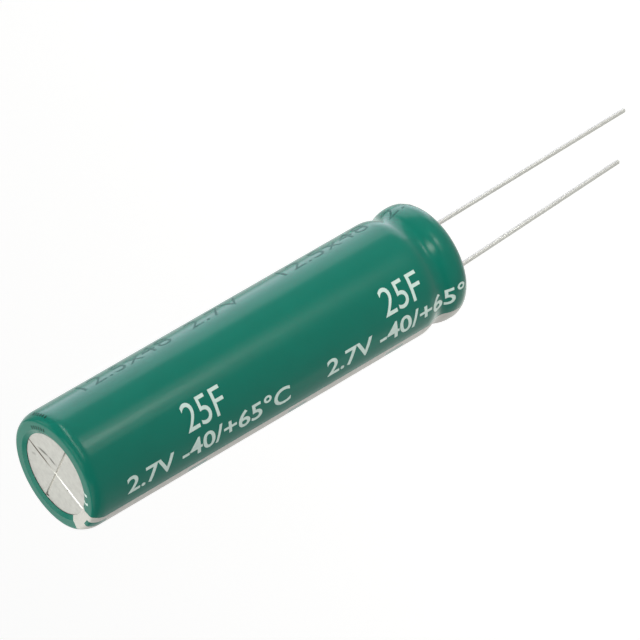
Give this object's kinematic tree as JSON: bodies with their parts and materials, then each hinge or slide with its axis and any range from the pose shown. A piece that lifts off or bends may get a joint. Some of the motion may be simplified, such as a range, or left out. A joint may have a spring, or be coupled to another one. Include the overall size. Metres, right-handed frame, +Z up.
{
  "type": "supercapacitor",
  "caption": "Slim cylindrical double-layer capacitor in a green shrink sleeve, with a scored aluminium vent end, a beaded and curled sealed end and radial wire leads for a circuit board.",
  "frame": {"origin": "on the can's axis, in the seat plane under the sleeve, midway between the leads where they leave the seal", "axes": "+Z up along the can's axis from the board to the vent end; +X from the negative lead to the positive lead"},
  "size_m": [0.0126, 0.0126, 0.0773],
  "materials": {
    "can": "matt drawn aluminium",
    "sleeve": "satin shrink film",
    "seal": "matt",
    "lead": "satin tin plating",
    "tab": "bright drawn aluminium",
    "winding": "matt separator paper",
    "tape": "thin film tape"
  },
  "bodies": {
    "root": {"can": "can", "sleeve": "sleeve", "end_seal": "seal", "positive_lead": "lead", "negative_lead": "lead", "positive_tab": "tab", "negative_tab": "tab", "wound_element": "winding", "element_tape": "tape"}
  },
  "joints": []
}
